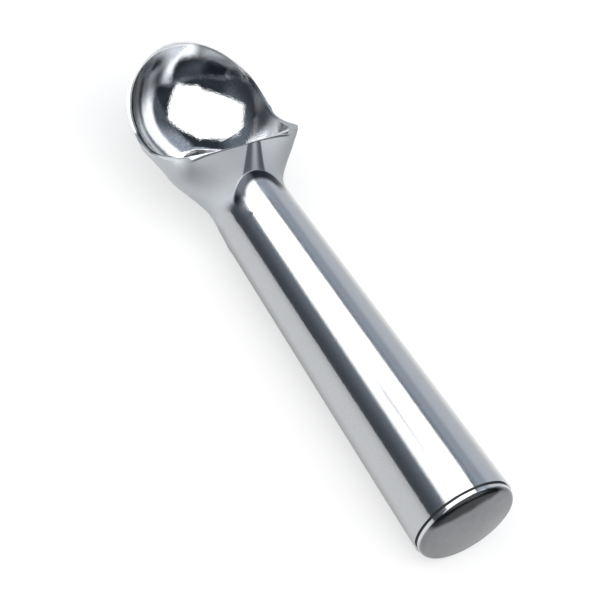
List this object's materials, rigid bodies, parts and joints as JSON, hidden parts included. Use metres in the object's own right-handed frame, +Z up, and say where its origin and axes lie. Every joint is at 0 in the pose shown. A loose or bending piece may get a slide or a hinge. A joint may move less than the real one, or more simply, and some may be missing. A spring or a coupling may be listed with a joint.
{
  "type": "ice cream scoop",
  "caption": "Cast aluminium ice cream scoop: open round bowl with a raised lip, flared neck and tapered, liquid-filled handle closed by a domed end cap.",
  "frame": {"origin": "middle of the part along X and Y, at the lowest point of the handle's butt", "axes": "+X along the handle's axis from the butt to the tip of the bowl, +Z up with the bowl open upwards, +Y to the left"},
  "size_m": [0.1828, 0.0476, 0.032],
  "materials": {
    "polished_cast": "mirror-polished casting",
    "satin_cap": "satin turned dome with a polished edge band",
    "seal_black": "matt black flat washer",
    "ring_rubber": "black seal ring, hidden inside",
    "fill_liquid": "clear pale liquid, hidden inside"
  },
  "bodies": {
    "root": {"scoop_body": "polished_cast", "end_cap": "satin_cap", "cap_gasket": "seal_black", "plug_o_ring": "ring_rubber", "heat_fluid": "fill_liquid"}
  },
  "joints": []
}
